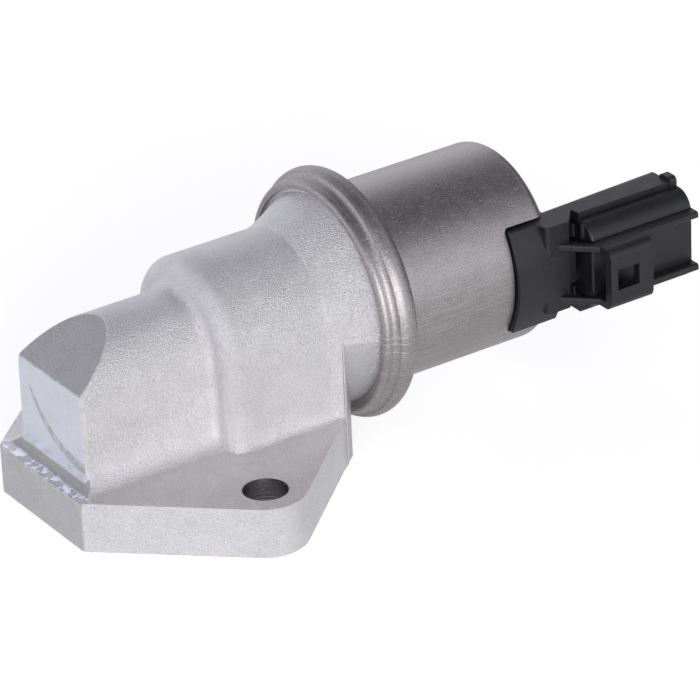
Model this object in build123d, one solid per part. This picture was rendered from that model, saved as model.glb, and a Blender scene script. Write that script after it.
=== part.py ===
"""Idle air control valve: a cast body with a two-bolt flange, a solenoid and a side connector.

Frame: the origin is midway between the two bolt holes on the mounting face. X runs along the
barrel towards the connector, Z points up from the mounting face, and the connector and the
front of the casting face -Y. All sizes are in millimetres. Cutting shapes run 1 mm past the
faces they cut.
"""
from build123d import *
from math import cos, pi, radians, sin
import os

# Mounting flange
BOLT_SPACING = 50.0
BOLT_HOLE_R = 3.5
BOLT_HOLE_CHAMFER = 0.15
LOBE_R = 6.45
FLANGE_THICK = 8.3
FLANGE_HALF_LENGTH = 24.4
FLANGE_END_HALF_WIDTH = 12.0
FLANGE_CORNER_R = 0.5
FACE_CHAMFER = 0.15

# Outside of the casting
AXIS_HEIGHT = 21.7
BARREL_LEFT = -21.7
STEP_X = 1.6
SMALL_R = 9.3
SMALL_WALL_SPREAD = 0.1
SMALL_BASE_FILLET = 3.2
END_BASE_FILLET = 1.8
END_EDGE_R = 0.8
SLOPE_START_RISE = 2.45
SLOPE_LENGTH = 9.8
SLOPE_BULGE = 0.12
BIG_R = 13.6
BIG_BASE_FILLET = 1.3
SHOULDER_R = 2.6
STEP_FILLET = 1.4
FLARE_LENGTH = 7.7
FLARE_MIDDLE_ALONG = 0.6
FLARE_MIDDLE_OUT = 0.53
COLLAR_STEP = 2.2
COLLAR_RISE = 1.2
COLLAR_THICK = 1.8
COLLAR_FACE = 29.1

# Inside of the casting
SEAT_POCKET_X = 0.0
SEAT_RING_R = 7.4
SEAT_RING_BORE_R = 4.6
SEAT_RING_THICK = 2.4
SEAT_RING_CHAMFER = 0.4
THROAT_R = 5.0
THROAT_LENGTH = 2.0
LEFT_CHAMBER_R = 6.3
LEFT_CHAMBER_LENGTH = 11.0
GUIDE_BORE_DEPTH = 5.5
RIGHT_CHAMBER_R = 10.3
BEARING_DEPTH = 7.3
BEARING_R = 12.0
BEARING_THICK = 3.0
BEARING_BOSS_WALL = 1.6
BEARING_BOSS_FOOT_WALL = 2.2
BREATHING_HOLE_R = 1.2
BREATHING_HOLES = 6
RETAINER_THICK = 0.8
RETAINER_DEPTH = 0.5
RETAINER_WIDTH = 1.6
RETAINER_HALF_OPENING = 1.5
SMALL_PORT_X = -8.0
SMALL_PORT_R = 4.5
LARGE_PORT_X = 12.0
LARGE_PORT_R = 6.0
PORT_CHAMFER = 0.5

# Body seal
SEAL_INSET = 2.8
SEAL_WIRE_R = 0.6
SEAL_SIDE_GAP = 0.2
SEAL_SIDES = 8

# Solenoid can
CAN_R = 16.0
CAN_WALL = 1.2
CAN_END = 60.9
CAN_LIP_THICK = 1.0
CAN_LIP_WIDTH = 3.2
CAN_CORNER_R = 2.0
BEAD_RISE = 2.0
BEAD_REACH = 1.3
BEAD_FOOT_R = 0.8
RIM_RISE = 0.65
RIM_WIDTH = 1.1
RIM_ROUND = 0.35
VALLEY_WIDTH = 1.2
VALLEY_BULGE = 0.12
BEAD_SHOULDER = 0.5
BEAD_CORNER_LENGTH = 0.4
BEAD_CORNER_DROP = 0.6
BEAD_SIDE = 1.4
RIM_LIP_THICK = 0.65
RIM_OVERLAP = 0.6
NOTCH_LENGTH = 8.2
NOTCH_GAP = 0.35
NOTCH_CORNER_R = 0.8

# Magnet circuit
FRONT_PLATE_THICK = 1.9
FRONT_PLATE_TUBE_WALL = 1.0
FRONT_PLATE_TUBE_LENGTH = 5.0
SLEEVE_BORE_R = 5.1
SLEEVE_WALL = 0.4
SLEEVE_FLANGE_R = 8.0
SLEEVE_FLANGE_THICK = 0.5
SLEEVE_END_GAP = 0.2
REAR_PLATE_THICK = 1.8
REAR_CUT_SIDE_GAP = 0.2
REAR_CUT_BACK_GAP = 0.3
CORE_NECK_R = 4.0
CORE_DEPTH = 12.6
CORE_STAKE_RISE = 0.8
CORE_STAKE_BEVEL = 0.3
SHIM_THICK = 0.3
ARMATURE_INSET = 1.3
ARMATURE_CHAMFER = 0.4
ARMATURE_GROOVE_DEPTH = 0.4
ARMATURE_GROOVE_HALF_WIDTH = 0.6
FIT_GAP = 0.05
RUN_GAP = 0.06

# Coil
BOBBIN_SIDE_GAP = 0.6
BOBBIN_HUB_WALL = 1.1
BOBBIN_FLANGE_THICK = 1.5
BOBBIN_LEFT_GAP = 0.1
BOBBIN_RIGHT_GAP = 0.4
TUBE_END_GAP = 0.1
WINDING_DEPTH_GAP = 0.6

# Valve and stem
STROKE = 4.0
STOP_GAP = 0.1
STEM_R = 1.5
STEM_CHAMFER = 0.3
BUSH_R = 2.6
FRONT_BUSH_LENGTH = 4.0
REAR_BUSH_LENGTH = 5.0
SEAT_GAP = 0.05
VALVE_FLANGE_R = 6.2
VALVE_FLANGE_THICK = 1.5
VALVE_RIM_BEVEL = 0.7
VALVE_NOSE_R = 2.3
VALVE_NOSE_LENGTH = 3.0
VALVE_NOSE_GAP = 0.3
VALVE_HUB_R = 3.0
VALVE_HUB_LENGTH = 2.6
CLIP_THICK = 0.6
CLIP_R = 3.2
CLIP_GROOVE_DEPTH = 0.4
CUP_R = 3.6
CUP_THICK = 0.7
CUP_SEAT_GAP = 0.4
CUP_LIP_LENGTH = 0.6
CUP_LIP_THICK = 0.2

# Springs and their screw
SPRING_R = 2.0
SPRING_WIRE_R = 0.3
RETURN_SPRING_TURNS = 5
FRONT_SPRING_R = 2.9
FRONT_SPRING_WIRE_R = 0.28
FRONT_SPRING_TURNS = 3
FRONT_SPRING_LENGTH = 4.4
SPRING_WIRE_SIDES = 6
POCKET_R = 2.6
ARMATURE_POCKET_DEPTH = 1.3
SCREW_R = 2.0
SCREW_DEPTH = 7.5
SCREW_NOSE_REACH = 1.5
SCREW_END_RISE = 0.4
SCREW_CHAMFER = 0.3
SCREW_SOCKET_R = 1.0
SCREW_SOCKET_DEPTH = 2.0

# Connector: lengths run from the can's end or the socket's end wall; an inset runs back from
# the can's foremost line, and the socket's reach runs forward from it
SADDLE_RISE = 1.0
SADDLE_HALF_HEIGHT = 8.6
SADDLE_END_GAP = 0.3
HOLLOW_GAP = 0.4
CONNECTOR_BACK_INSET = 6.4
NECK_FOOT = 3.5
NECK_FOOT_LENGTH = 1.7
NECK_SET_BACK = 0.3
NECK_END = 1.75
NECK_MIDDLE_END = 2.95
NECK_MIDDLE_DROP = 2.2
NECK_DROP = 6.4
WALL_OFFSET = 4.4
LINK_HALF_HEIGHT = 7.0
KEY_FRONT_INSET = 0.7
KEY_BACK_START_INSET = 5.4
KEY_BACK_END_INSET = 6.3
KEY_EDGE_R = 1.5
KEY_NOTCH_INSET = 2.4
KEY_NOTCH_LENGTH = 0.25
KEY_SHORT = 1.15
SOCKET_LENGTH = 19.2
SOCKET_REACH = 3.15
SOCKET_DEPTH = 10.25
SOCKET_HALF_HEIGHT = 7.6
SOCKET_CORNER_R = 3.2
SOCKET_EDGE_R = 0.4
SOCKET_WALL = 1.4
SOCKET_END_WALL = 1.2
MOUTH_KEY_LENGTH = 1.3
MOUTH_KEY_RISE = 1.6
MOUTH_KEY_INSET = 0.5
MOUTH_KEY_WIDTH = 2.9
RAIL_TOP = 5.15
RAIL_THICK = 1.2
RAIL_REACH = 1.85
BRIDGE_REACH = 4.85
BRIDGE_LENGTH = 8.1
BRIDGE_THICK = 1.5
BRIDGE_CORNER_R = 1.6
WINDOW_START = 1.3
WINDOW_LENGTH = 4.1
WINDOW_HALF_HEIGHT = 1.75
STRUT_REACH = 5.1
STRUT_END_DEPTH = 0.4
STRUT_RISE = 1.6
STRUT_WIDTH = 1.2
STRUT_EDGE_R = 0.4
SMALL_RIB_R = 0.5
SMALL_RIB_INSETS = (1.9, -0.7)
SMALL_RIB_LOWS = (4.3, 5.0)
SMALL_RIB_LENGTH = 2.3

# Terminals
TERMINAL_SPACING = 4.6
TERMINAL_WIDTH = 2.0
TERMINAL_THICK = 0.64
TERMINAL_INSET = 2.0
TERMINAL_ROOT_INSET = 3.6
TERMINAL_REACH = 12.3
TERMINAL_CRANK_INSET = 0.4
TERMINAL_CRANK_LENGTH = 1.6

# Worked out from the sizes above: casting and can
COLLAR_R = CAN_R + COLLAR_STEP
COLLAR_LEFT = COLLAR_FACE - COLLAR_THICK
FLARE_START = COLLAR_LEFT - FLARE_LENGTH
FLARE_END_R = COLLAR_R - COLLAR_RISE
SLOPE_END_X = BARREL_LEFT + SLOPE_LENGTH
SEAL_MEAN_R = COLLAR_R - SEAL_INSET
CAN_BORE_R = CAN_R - CAN_WALL
BEAD_BORE_R = COLLAR_R + FIT_GAP * 2
FRONT_PLATE_X = COLLAR_FACE
COIL_SPACE_X = FRONT_PLATE_X + FRONT_PLATE_THICK
REAR_PLATE_RIGHT = CAN_END - CAN_LIP_THICK
REAR_PLATE_X = REAR_PLATE_RIGHT - REAR_PLATE_THICK
NOTCH_START = CAN_END - NOTCH_LENGTH
NOTCH_HALF_HEIGHT = SADDLE_HALF_HEIGHT + NOTCH_GAP

# Worked out from the sizes above: coil and magnet circuit
SLEEVE_R = SLEEVE_BORE_R + SLEEVE_WALL
SLEEVE_END = REAR_PLATE_X - SLEEVE_END_GAP
TUBE_END = COIL_SPACE_X + FRONT_PLATE_TUBE_LENGTH
TUBE_R = SLEEVE_R + FIT_GAP + FRONT_PLATE_TUBE_WALL
BOBBIN_HUB_R = TUBE_R + FIT_GAP + BOBBIN_HUB_WALL
BOBBIN_FLANGE_R = CAN_BORE_R - BOBBIN_SIDE_GAP
WINDING_R = BOBBIN_FLANGE_R - WINDING_DEPTH_GAP
BOBBIN_START = COIL_SPACE_X + BOBBIN_LEFT_GAP
BOBBIN_END = REAR_PLATE_X - BOBBIN_RIGHT_GAP
CORE_FACE = CAN_END - CORE_DEPTH
SCREW_NOSE_X = CAN_END - SCREW_DEPTH
ARMATURE_LEFT = COLLAR_FACE + ARMATURE_INSET
ARMATURE_R = SLEEVE_BORE_R - RUN_GAP
ARMATURE_RIGHT = CORE_FACE - SHIM_THICK - STOP_GAP - STROKE

# Worked out from the sizes above: chambers, bearing and valve
LEFT_CHAMBER_END = SEAT_POCKET_X - THROAT_LENGTH
LEFT_CHAMBER_START = LEFT_CHAMBER_END - LEFT_CHAMBER_LENGTH
GUIDE_BORE_END = LEFT_CHAMBER_START - GUIDE_BORE_DEPTH
BEARING_X = COLLAR_FACE - BEARING_DEPTH
BEARING_END = BEARING_X + BEARING_THICK
VALVE_SEAT_X = SEAT_POCKET_X + SEAT_RING_THICK
VALVE_FLANGE_X = VALVE_SEAT_X + SEAT_GAP
VALVE_HUB_END = VALVE_FLANGE_X + VALVE_FLANGE_THICK + VALVE_HUB_LENGTH
STEM_LEFT = LEFT_CHAMBER_START - FRONT_BUSH_LENGTH
STEM_RIGHT = ARMATURE_RIGHT - ARMATURE_POCKET_DEPTH
CUP_LEFT = LEFT_CHAMBER_START + FRONT_SPRING_LENGTH

# Worked out from the sizes above: connector
SADDLE_R = CAN_R + SADDLE_RISE
CONNECTOR_BACK = CONNECTOR_BACK_INSET - CAN_R
SOCKET_FRONT = -CAN_R - SOCKET_REACH
SOCKET_BACK = SOCKET_FRONT + SOCKET_DEPTH
SADDLE_START = NOTCH_START + SADDLE_END_GAP
NECK_X = CAN_END - NECK_FOOT
NECK_FRONT = NECK_SET_BACK - SADDLE_R
SOCKET_START = CAN_END + WALL_OFFSET
SOCKET_END = SOCKET_START + SOCKET_LENGTH
SOCKET_FLOOR = SOCKET_START + SOCKET_END_WALL
KEY_END = SOCKET_END - KEY_SHORT
KEY_FRONT = KEY_FRONT_INSET - CAN_R
KEY_BACK_START = KEY_BACK_START_INSET - CAN_R
KEY_BACK_END = KEY_BACK_END_INSET - CAN_R
KEY_NOTCH_BACK = KEY_NOTCH_INSET - CAN_R
MOUTH_KEY_FRONT = MOUTH_KEY_INSET - CAN_R
BRIDGE_FRONT = SOCKET_FRONT - BRIDGE_REACH
RAIL_FRONT = SOCKET_FRONT - RAIL_REACH
TERMINAL_CRANK_X = CAN_END - TERMINAL_CRANK_INSET
TERMINAL_TIP = SOCKET_FLOOR + TERMINAL_REACH
TERMINAL_Y = TERMINAL_INSET - CAN_R
TERMINAL_ROOT_Y = TERMINAL_ROOT_INSET - CAN_R


def turned(*outline):
    """A solid turned about the barrel axis from a closed outline of (x, radius) points."""
    face = make_face(Polyline(*outline, close=True))
    return Pos(0, 0, AXIS_HEIGHT) * revolve(face, Axis.X)


def ring(start, end, inner, outer):
    """A plain turned ring, or a disc where inner is 0."""
    return turned((start, inner), (end, inner), (end, outer), (start, outer))


def block(x, y, z):
    """A box from three (low, high) pairs, with z measured from the barrel axis."""
    size = [high - low for low, high in (x, y, z)]
    middle = [(low + high) / 2 for low, high in (x, y, z)]
    return Pos(middle[0], middle[1], middle[2] + AXIS_HEIGHT) * Box(*size)


def across(face_sketch, start, end):
    """Extrude a sketch drawn as (y, z above the axis) from x = start to x = end."""
    plane = Plane(origin=(start, 0, AXIS_HEIGHT), x_dir=(0, 1, 0), z_dir=(1, 0, 0))
    return extrude(plane * face_sketch, end - start)


def flange_outline():
    """The diamond outline: two lobes round the bolt holes and two blunt ends."""
    rounds = [Pos(0, side * BOLT_SPACING / 2) * Circle(LOBE_R) for side in (-1, 1)]
    corner_x = FLANGE_HALF_LENGTH - FLANGE_CORNER_R
    corner_y = FLANGE_END_HALF_WIDTH - FLANGE_CORNER_R
    for x in (-corner_x, corner_x):
        for y in (-corner_y, corner_y):
            rounds.append(Pos(x, y) * Circle(FLANGE_CORNER_R))
    return make_hull([edge for shape in rounds for edge in shape.edges()])


def arch_section(radius, base_half_width, base_fillet):
    """A slice of the casting: round over the axis, walls down to the flange, flared foot."""
    top = FLANGE_THICK - AXIS_HEIGHT
    foot = base_half_width + base_fillet
    heel = top + base_fillet
    corner = cos(pi / 4) * base_fillet
    middle = (foot - corner, top + base_fillet - corner)
    outline = [
        ThreePointArc((radius, 0), (0, radius), (-radius, 0)),
        Line((-radius, 0), (-base_half_width, heel)),
        ThreePointArc((-base_half_width, heel), (-middle[0], middle[1]), (-foot, top)),
        Line((-foot, top), (-foot, -AXIS_HEIGHT)),
        Line((-foot, -AXIS_HEIGHT), (foot, -AXIS_HEIGHT)),
        Line((foot, -AXIS_HEIGHT), (foot, top)),
        ThreePointArc((foot, top), middle, (base_half_width, heel)),
        Line((base_half_width, heel), (radius, 0)),
    ]
    return make_face(outline)


def small_barrel():
    """The left barrel: its arch crossed with a side view that has the end face and slope."""
    arch = across(
        arch_section(SMALL_R, SMALL_R + SMALL_WALL_SPREAD, SMALL_BASE_FILLET),
        BARREL_LEFT - END_BASE_FILLET, STEP_X + SHOULDER_R)
    left = BARREL_LEFT
    toe = left - END_BASE_FILLET
    corner = cos(pi / 4) * END_BASE_FILLET
    slope_low = (left, AXIS_HEIGHT + SLOPE_START_RISE)
    slope_high = (SLOPE_END_X, AXIS_HEIGHT + SMALL_R)
    slope_mid = (
        (slope_low[0] + slope_high[0]) / 2 - SLOPE_BULGE / 2,
        (slope_low[1] + slope_high[1]) / 2 + SLOPE_BULGE)
    right = STEP_X + SHOULDER_R
    side_view = make_face([
        Line((toe, 0), (toe, FLANGE_THICK)),
        ThreePointArc(
            (toe, FLANGE_THICK),
            (toe + corner, FLANGE_THICK + END_BASE_FILLET - corner),
            (left, FLANGE_THICK + END_BASE_FILLET)),
        Line((left, FLANGE_THICK + END_BASE_FILLET), slope_low),
        ThreePointArc(slope_low, slope_mid, slope_high),
        Line(slope_high, (SLOPE_END_X + 1, AXIS_HEIGHT + SMALL_R + 1)),
        Line((SLOPE_END_X + 1, AXIS_HEIGHT + SMALL_R + 1), (right, AXIS_HEIGHT + SMALL_R + 1)),
        Line((right, AXIS_HEIGHT + SMALL_R + 1), (right, 0)),
        Line((right, 0), (toe, 0)),
    ])
    reach = SMALL_R + SMALL_WALL_SPREAD + SMALL_BASE_FILLET + 1
    barrel = arch & extrude(Plane.XZ * side_view, reach, both=True)
    rounded = [
        edge for edge in barrel.edges()
        if edge.center().X < SLOPE_END_X + 0.1 and edge.center().Z > FLANGE_THICK + END_BASE_FILLET + 1
        and (edge.center().X < left + 0.01 or edge.center().Z > AXIS_HEIGHT + SLOPE_START_RISE + 1)]
    return fillet(rounded, END_EDGE_R)


def step_fillet():
    """The concave corner where the small barrel meets the big one's left face."""
    corner = STEP_FILLET * (1 - cos(pi / 4))
    outline = make_face([
        Line((STEP_X + 1, SMALL_R - 1), (STEP_X - STEP_FILLET, SMALL_R - 1)),
        Line((STEP_X - STEP_FILLET, SMALL_R - 1), (STEP_X - STEP_FILLET, SMALL_R)),
        ThreePointArc(
            (STEP_X - STEP_FILLET, SMALL_R), (STEP_X - corner, SMALL_R + corner),
            (STEP_X, SMALL_R + STEP_FILLET)),
        Line((STEP_X, SMALL_R + STEP_FILLET), (STEP_X + 1, SMALL_R + STEP_FILLET)),
        Line((STEP_X + 1, SMALL_R + STEP_FILLET), (STEP_X + 1, SMALL_R - 1)),
    ])
    hoop = Pos(0, 0, AXIS_HEIGHT) * revolve(outline, Axis.X)
    over = hoop & block(
        (STEP_X - STEP_FILLET, STEP_X + 1), (-BIG_R, BIG_R), (0, BIG_R))
    wall = extrude(outline, AXIS_HEIGHT)
    return over + wall + mirror(wall, about=Plane.XZ)


def flare_arc():
    """The curve that the neck flares out by, as (x, radius)."""
    middle_x = FLARE_START + FLARE_LENGTH * FLARE_MIDDLE_ALONG
    middle_r = BIG_R + (FLARE_END_R - BIG_R) * FLARE_MIDDLE_OUT
    return ThreePointArc((FLARE_START, BIG_R), (middle_x, middle_r), (COLLAR_LEFT, FLARE_END_R))


def big_barrel():
    """The right barrel with its rounded shoulder, down to the flange on flared walls."""
    arch = across(arch_section(BIG_R, BIG_R, BIG_BASE_FILLET), STEP_X, FLANGE_HALF_LENGTH)
    shoulder = [
        edge for edge in arch.edges()
        if abs(edge.center().X - STEP_X) < 0.01
        and edge.center().Z > FLANGE_THICK + BIG_BASE_FILLET]
    arch = fillet(shoulder, SHOULDER_R)
    half_plan = make_face([
        Line((FLARE_START - 1, 0), (FLARE_START - 1, BIG_R)),
        Line((FLARE_START - 1, BIG_R), (FLARE_START, BIG_R)),
        flare_arc(),
        Line((COLLAR_LEFT, FLARE_END_R), (COLLAR_LEFT, 0)),
        Line((COLLAR_LEFT, 0), (FLARE_START - 1, 0)),
    ])
    walls = extrude(half_plan + mirror(half_plan, about=Plane.XZ), AXIS_HEIGHT)
    return (arch + walls) & extrude(flange_outline(), AXIS_HEIGHT + BIG_R + 1)


def flare():
    """The neck flares out to the collar that the can is rolled over."""
    face = make_face([
        Line((STEP_X + SHOULDER_R, 0), (STEP_X + SHOULDER_R, BIG_R)),
        Line((STEP_X + SHOULDER_R, BIG_R), (FLARE_START, BIG_R)),
        flare_arc(),
        Line((COLLAR_LEFT, FLARE_END_R), (COLLAR_LEFT, COLLAR_R)),
        Line((COLLAR_LEFT, COLLAR_R), (COLLAR_FACE, COLLAR_R)),
        Line((COLLAR_FACE, COLLAR_R), (COLLAR_FACE, 0)),
        Line((COLLAR_FACE, 0), (STEP_X + SHOULDER_R, 0)),
    ])
    return Pos(0, 0, AXIS_HEIGHT) * revolve(face, Axis.X)


def body_bores():
    """The stepped bore along the axis, from the blind guide hole to the collar."""
    bore = turned(
        (GUIDE_BORE_END, 0), (GUIDE_BORE_END, BUSH_R),
        (LEFT_CHAMBER_START, BUSH_R), (LEFT_CHAMBER_START, LEFT_CHAMBER_R),
        (LEFT_CHAMBER_END, LEFT_CHAMBER_R), (LEFT_CHAMBER_END, THROAT_R),
        (SEAT_POCKET_X, THROAT_R), (SEAT_POCKET_X, SEAT_RING_R),
        (VALVE_SEAT_X, SEAT_RING_R), (VALVE_SEAT_X, RIGHT_CHAMBER_R),
        (BEARING_X, RIGHT_CHAMBER_R), (BEARING_X, BEARING_R + FIT_GAP),
        (BEARING_END, BEARING_R + FIT_GAP), (BEARING_END, BEARING_R + RETAINER_DEPTH),
        (BEARING_END + RETAINER_THICK, BEARING_R + RETAINER_DEPTH),
        (BEARING_END + RETAINER_THICK, BEARING_R + FIT_GAP),
        (COLLAR_FACE + 1, BEARING_R + FIT_GAP), (COLLAR_FACE + 1, 0))
    half_groove = SEAL_WIRE_R + SEAL_SIDE_GAP
    groove = ring(
        COLLAR_FACE - 2 * SEAL_WIRE_R, COLLAR_FACE + 1,
        SEAL_MEAN_R - half_groove, SEAL_MEAN_R + half_groove)
    return bore + groove


def port(x, radius):
    """A vertical air port from the mounting face up to the barrel axis, chamfered below."""
    hole = Pos(x, 0, AXIS_HEIGHT / 2) * Cylinder(radius, AXIS_HEIGHT)
    mouth = Pos(x, 0, PORT_CHAMFER / 2) * Cone(radius + PORT_CHAMFER, radius, PORT_CHAMFER)
    return hole + mouth


def valve_body():
    """The casting: flange, two barrels, flare, bores, ports and bolt holes."""
    flange = extrude(flange_outline(), FLANGE_THICK)
    flange = chamfer(flange.edges().group_by(Axis.Z)[0], FACE_CHAMFER)
    casting = extrude(flange_outline(), AXIS_HEIGHT + BIG_R)
    body = flange + (small_barrel() & casting) + step_fillet() + big_barrel() + flare()
    body = body - body_bores() - port(SMALL_PORT_X, SMALL_PORT_R)
    body = body - port(LARGE_PORT_X, LARGE_PORT_R)
    for side in (-1, 1):
        y = side * BOLT_SPACING / 2
        body -= Pos(0, y, FLANGE_THICK / 2) * Cylinder(BOLT_HOLE_R, FLANGE_THICK)
        body -= Pos(0, y, FLANGE_THICK - BOLT_HOLE_CHAMFER / 2) * Cone(
            BOLT_HOLE_R, BOLT_HOLE_R + BOLT_HOLE_CHAMFER, BOLT_HOLE_CHAMFER)
    return body


def seat_ring():
    """Brass ring pressed into the web between the chambers; the valve shuts on its face."""
    start, end = SEAT_POCKET_X, VALVE_SEAT_X
    return turned(
        (start, SEAT_RING_BORE_R + SEAT_RING_CHAMFER),
        (start + SEAT_RING_CHAMFER, SEAT_RING_BORE_R),
        (end, SEAT_RING_BORE_R), (end, SEAT_RING_R), (start, SEAT_RING_R))


def bush(start, length):
    """A plain bronze bush for the stem."""
    return ring(start, start + length, STEM_R + RUN_GAP, BUSH_R)


def bearing_plate():
    """Disc that carries the rear bush, with breathing holes round it."""
    boss = REAR_BUSH_LENGTH - BEARING_THICK
    plate = turned(
        (BEARING_X - boss, BUSH_R), (BEARING_X - boss, BUSH_R + BEARING_BOSS_WALL),
        (BEARING_X, BUSH_R + BEARING_BOSS_FOOT_WALL), (BEARING_X, BEARING_R),
        (BEARING_END, BEARING_R), (BEARING_END, BUSH_R))
    # The rim that rests on the step of the bore is wider than the chamber behind it
    hole_circle = (BUSH_R + RIGHT_CHAMBER_R) / 2
    for turn in range(BREATHING_HOLES):
        angle = radians((turn + 0.5) * 360 / BREATHING_HOLES)
        centre = (
            BEARING_X + BEARING_THICK / 2,
            hole_circle * cos(angle),
            AXIS_HEIGHT + hole_circle * sin(angle))
        plate -= Pos(*centre) * Rot(0, 90, 0) * Cylinder(BREATHING_HOLE_R, BEARING_THICK * 2)
    return plate


def bearing_retainer():
    """Spring ring in the groove that holds the bearing plate, with its open ends at the top."""
    outer = BEARING_R + RETAINER_DEPTH - FIT_GAP
    hoop = ring(BEARING_END, BEARING_END + RETAINER_THICK, outer - RETAINER_WIDTH, outer)
    half = RETAINER_HALF_OPENING
    gap = block((BEARING_X, COLLAR_FACE), (-half, half), (0, BEARING_R + 1))
    return hoop - gap


def valve_stem():
    """Ground steel stem with two clip grooves."""
    stem = ring(STEM_LEFT, STEM_RIGHT, 0, STEM_R)
    stem = chamfer(stem.edges().group_by(Axis.X)[0], STEM_CHAMFER)
    for x in (VALVE_HUB_END, CUP_LEFT + CUP_THICK):
        stem -= ring(x, x + CLIP_THICK, STEM_R - CLIP_GROOVE_DEPTH, STEM_R + 1)
    return stem


def stem_clip(x):
    """E-clip snapped into a stem groove: a flat ring open on one side."""
    clip = ring(x, x + CLIP_THICK, STEM_R - CLIP_GROOVE_DEPTH, CLIP_R)
    slot = block(
        (x - 1, x + 2), (-STEM_R * 0.75, STEM_R * 0.75), (0, CLIP_R + 1))
    return clip - slot


def valve_cone():
    """Metering valve: a tapered nose in the seat bore, a flat sealing flange and a hub."""
    x = VALVE_FLANGE_X
    flange_end = x + VALVE_FLANGE_THICK
    return turned(
        (x - VALVE_NOSE_LENGTH, STEM_R), (x - VALVE_NOSE_LENGTH, VALVE_NOSE_R),
        (x, SEAT_RING_BORE_R - VALVE_NOSE_GAP), (x, VALVE_FLANGE_R),
        (flange_end - VALVE_RIM_BEVEL, VALVE_FLANGE_R),
        (flange_end, VALVE_FLANGE_R - VALVE_RIM_BEVEL),
        (flange_end, VALVE_HUB_R), (VALVE_HUB_END, VALVE_HUB_R), (VALVE_HUB_END, STEM_R))


def spring_cup():
    """Dished washer on the stem that the front spring pushes on."""
    x = CUP_LEFT
    lip = x - CUP_LIP_LENGTH
    return turned(
        (x, STEM_R), (x, FRONT_SPRING_R + CUP_SEAT_GAP), (lip, CUP_R - CUP_LIP_THICK),
        (lip, CUP_R), (x + CUP_THICK, CUP_R), (x + CUP_THICK, STEM_R))


def coil_spring(start, end, mean_r, wire_r, turns):
    """A compression spring along the barrel axis, from start to end."""
    rise = end - start - 2 * wire_r
    path = Helix(pitch=rise / turns, height=rise, radius=mean_r)
    wire_plane = Plane(origin=path @ 0, z_dir=path % 0)
    wire = sweep(
        wire_plane * RegularPolygon(wire_r, SPRING_WIRE_SIDES), path, is_frenet=True)
    return Pos(start + wire_r, 0, AXIS_HEIGHT) * Rot(0, 90, 0) * wire


def armature():
    """Soft iron plunger on the stem, with air grooves along it and a spring pocket."""
    body = ring(ARMATURE_LEFT, ARMATURE_RIGHT, STEM_R, ARMATURE_R)
    body = chamfer(body.edges().filter_by(GeomType.CIRCLE).sort_by(SortBy.RADIUS)[-2:], ARMATURE_CHAMFER)
    body -= ring(STEM_RIGHT, ARMATURE_RIGHT + 1, 0, POCKET_R)
    for turn in range(4):
        groove = block(
            (ARMATURE_LEFT - 1, ARMATURE_RIGHT + 1),
            (-ARMATURE_GROOVE_HALF_WIDTH, ARMATURE_GROOVE_HALF_WIDTH),
            (ARMATURE_R - ARMATURE_GROOVE_DEPTH, ARMATURE_R + 1))
        body -= groove.rotate(Axis((0, 0, AXIS_HEIGHT), (1, 0, 0)), 45 + turn * 90)
    return body


def armature_sleeve():
    """Thin non-magnetic tube that guides the armature, flanged over the front plate."""
    flange_x = FRONT_PLATE_X - SLEEVE_FLANGE_THICK
    return turned(
        (flange_x, SLEEVE_BORE_R), (flange_x, SLEEVE_FLANGE_R),
        (FRONT_PLATE_X, SLEEVE_FLANGE_R), (FRONT_PLATE_X, SLEEVE_R),
        (SLEEVE_END, SLEEVE_R), (SLEEVE_END, SLEEVE_BORE_R))


def front_yoke_plate():
    """Steel disc clamped in the can's bead, with a short tube round the sleeve."""
    bore = SLEEVE_R + FIT_GAP
    return turned(
        (FRONT_PLATE_X, bore), (FRONT_PLATE_X, COLLAR_R), (COIL_SPACE_X, COLLAR_R),
        (COIL_SPACE_X, TUBE_R), (TUBE_END, TUBE_R), (TUBE_END, bore))


def rear_yoke_plate():
    """Steel end plate under the can's lip, cut away where the connector leaves."""
    plate = ring(REAR_PLATE_X, REAR_PLATE_RIGHT, CORE_NECK_R + FIT_GAP, CAN_BORE_R - FIT_GAP)
    reach = NOTCH_HALF_HEIGHT + REAR_CUT_SIDE_GAP
    cut = block(
        (REAR_PLATE_X - 1, REAR_PLATE_RIGHT + 1),
        (-CAN_R, CONNECTOR_BACK + REAR_CUT_BACK_GAP), (-reach, reach))
    return plate - cut


def fixed_core():
    """Pole piece: fills the rear of the sleeve and is staked through the end plate."""
    core_r = SLEEVE_BORE_R - FIT_GAP
    pocket_end = SCREW_NOSE_X + SCREW_NOSE_REACH
    screw_bore = SCREW_R + FIT_GAP
    end = REAR_PLATE_RIGHT + CORE_STAKE_RISE
    return turned(
        (CORE_FACE, POCKET_R), (CORE_FACE, core_r), (REAR_PLATE_X, core_r),
        (REAR_PLATE_X, CORE_NECK_R), (end - CORE_STAKE_BEVEL, CORE_NECK_R),
        (end, CORE_NECK_R - CORE_STAKE_BEVEL), (end, screw_bore),
        (pocket_end, screw_bore), (pocket_end, POCKET_R))


def air_gap_shim():
    """Brass washer on the pole face, so that the armature never sticks to it."""
    return ring(CORE_FACE - SHIM_THICK, CORE_FACE, POCKET_R, SLEEVE_BORE_R - FIT_GAP)


def adjusting_screw():
    """Set screw in the core that sets the spring load, with a hexagon socket."""
    end = REAR_PLATE_RIGHT + SCREW_END_RISE
    screw = ring(SCREW_NOSE_X, end, 0, SCREW_R)
    screw = chamfer(screw.edges().group_by(Axis.X)[-1], SCREW_CHAMFER)
    socket = across(RegularPolygon(SCREW_SOCKET_R, 6), end - SCREW_SOCKET_DEPTH, end + 1)
    return screw - socket


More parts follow.
